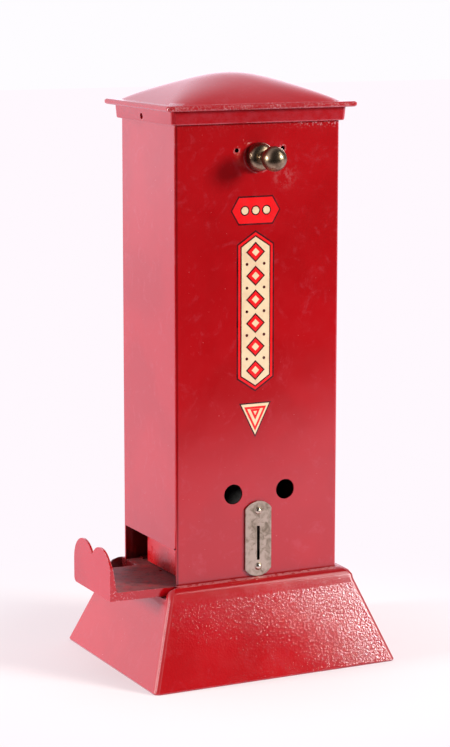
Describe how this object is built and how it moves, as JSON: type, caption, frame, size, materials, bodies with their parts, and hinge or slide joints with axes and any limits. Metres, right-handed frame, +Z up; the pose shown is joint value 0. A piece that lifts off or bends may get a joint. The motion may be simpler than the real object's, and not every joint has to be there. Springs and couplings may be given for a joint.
{
  "type": "match vending machine",
  "caption": "Counter-top match vendor: tall red sheet tower on a flared cast pedestal, hipped lid, brass knob, coin plate and a lobed side tray fed by a pull slide.",
  "frame": {"origin": "middle of the pedestal's underside, on the surface it stands on", "axes": "+Z up the tower, -Y towards the front with the knob and coin plate, -X towards the delivery tray"},
  "size_m": [0.1736, 0.1302, 0.3515],
  "materials": {
    "cast_enamel": "gloss enamel on a casting, worn and chipped",
    "sheet_enamel": "gloss enamel on sheet steel",
    "nickel_plate": "worn satin plating",
    "plate_rivet": "worn plating",
    "brass": "aged polished brass",
    "tinned_sheet": "dull tinned sheet",
    "dark_steel": "dark oiled steel",
    "screw_steel": "plain steel"
  },
  "bodies": {
    "cabinet": {"base": "cast_enamel", "bottom_cover": "tinned_sheet", "bottom_cover_screws": "screw_steel", "deck_tray": "cast_enamel", "deck_bolts": "screw_steel", "tower_shell": "sheet_enamel", "tower_screws": "screw_steel", "coin_plate": "nickel_plate", "coin_plate_rivets": "plate_rivet", "coin_chute": "tinned_sheet", "magazine": "tinned_sheet", "magazine_upper_bracket": "tinned_sheet", "magazine_lower_bracket": "tinned_sheet", "bracket_rivets": "screw_steel", "pawl_pin": "screw_steel", "stop_screw": "screw_steel", "clamp_plate": "dark_steel"},
    "knob": {"knob": "brass"},
    "lid": {"lid": "cast_enamel", "lid_tongue": "dark_steel", "lid_tongue_screws": "screw_steel"},
    "slide": {"slide_box": "sheet_enamel", "carrier_block_left": "dark_steel", "carrier_block_right": "dark_steel", "carrier_rivets": "screw_steel", "pull_bar": "sheet_enamel", "pull_screw": "screw_steel"},
    "pawl": {"coin_pawl": "dark_steel"}
  },
  "joints": [
    {"name": "knob_turn", "type": "hinge", "parent": "cabinet", "child": "knob", "pos_m": [0, -0.0375, 0.3045], "axis": [0, -1, 0], "continuous": true},
    {"name": "lid_lift", "type": "slide", "parent": "cabinet", "child": "lid", "axis": [0, 0, 1], "range_m": [0, 0.05]},
    {"name": "slide_pull", "type": "slide", "parent": "cabinet", "child": "slide", "axis": [1, 0, 0], "range_m": [0, 0.069]},
    {"name": "pawl_swing", "type": "hinge", "parent": "cabinet", "child": "pawl", "pos_m": [0.02, -0.02, 0.079], "axis": [0, 1, 0], "range_deg": [0, 12]}
  ]
}
